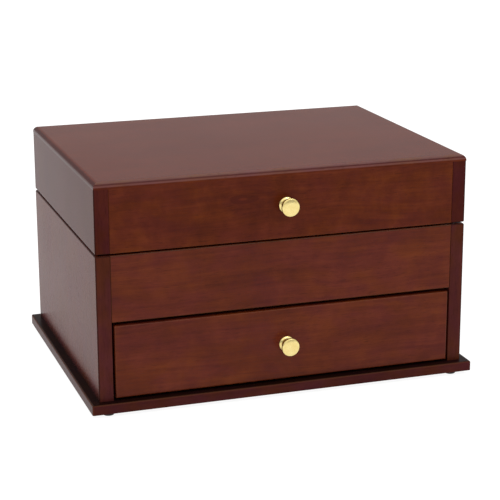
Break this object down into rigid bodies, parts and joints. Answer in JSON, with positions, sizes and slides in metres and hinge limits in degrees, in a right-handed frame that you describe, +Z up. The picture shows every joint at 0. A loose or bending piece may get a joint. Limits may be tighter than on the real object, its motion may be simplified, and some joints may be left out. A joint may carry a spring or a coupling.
{
  "type": "jewelry box",
  "caption": "Wooden jewelry box on an overhanging base, with a hinged lid over a lined tray, a fixed front board and a drawer below, each opened by a small brass knob.",
  "frame": {"origin": "on the floor, in the middle of the footprint from the drawer knob's face to the base's back edge", "axes": "+X to the right seen from the front, +Y to the back, +Z up"},
  "size_m": [0.28, 0.217, 0.162],
  "materials": {
    "lacquered_wood": "dark cherry stain under semi-gloss lacquer",
    "inner_wood": "plain sanded, thin sealer",
    "velvet": "short-pile velvet over card or foam",
    "brass": "polished",
    "steel": "zinc plated",
    "mirror_glass": "polished",
    "foot_rubber": "matte"
  },
  "bodies": {
    "case": {"back_board": "lacquered_wood", "base_plate": "lacquered_wood", "base_screws": "steel", "case_hinge_leaf_left": "brass", "case_hinge_leaf_right": "brass", "case_hinge_screws": "brass", "compartment_floor": "inner_wood", "drawer_stops": "inner_wood", "feet": "foot_rubber", "front_board": "lacquered_wood", "hinge_pin_left": "brass", "hinge_pin_right": "brass", "left_side_board": "lacquered_wood", "right_side_board": "lacquered_wood", "ring_rolls": "velvet", "tray_divider_cross": "velvet", "tray_divider_long": "velvet", "tray_divider_short": "velvet", "tray_floor_pad": "velvet", "tray_lining_back": "velvet", "tray_lining_front": "velvet", "tray_lining_left": "velvet", "tray_lining_right": "velvet"},
    "lid": {"lid_back_board": "lacquered_wood", "lid_front_board": "lacquered_wood", "lid_hinge_leaf_left": "brass", "lid_hinge_leaf_right": "brass", "lid_hinge_screws": "brass", "lid_knob": "brass", "lid_knob_screw": "steel", "lid_left_board": "lacquered_wood", "lid_mirror": "mirror_glass", "lid_right_board": "lacquered_wood", "lid_top_board": "lacquered_wood", "mirror_border_back": "velvet", "mirror_border_front": "velvet", "mirror_border_left": "velvet", "mirror_border_right": "velvet"},
    "drawer": {"drawer_back": "inner_wood", "drawer_bottom": "inner_wood", "drawer_divider_left": "velvet", "drawer_divider_right": "velvet", "drawer_floor_pad": "velvet", "drawer_front": "lacquered_wood", "drawer_knob": "brass", "drawer_knob_screw": "steel", "drawer_left_side": "inner_wood", "drawer_lining_back": "velvet", "drawer_lining_front": "velvet", "drawer_lining_left": "velvet", "drawer_lining_right": "velvet", "drawer_right_side": "inner_wood"}
  },
  "joints": [
    {"name": "lid_hinge", "type": "hinge", "parent": "case", "child": "lid", "pos_m": [0, 0.1025, 0.1126], "axis": [-1, 0, 0], "range_deg": [0, 100]},
    {"name": "drawer_slide", "type": "slide", "parent": "case", "child": "drawer", "axis": [0, -1, 0], "range_m": [0, 0.15]}
  ]
}
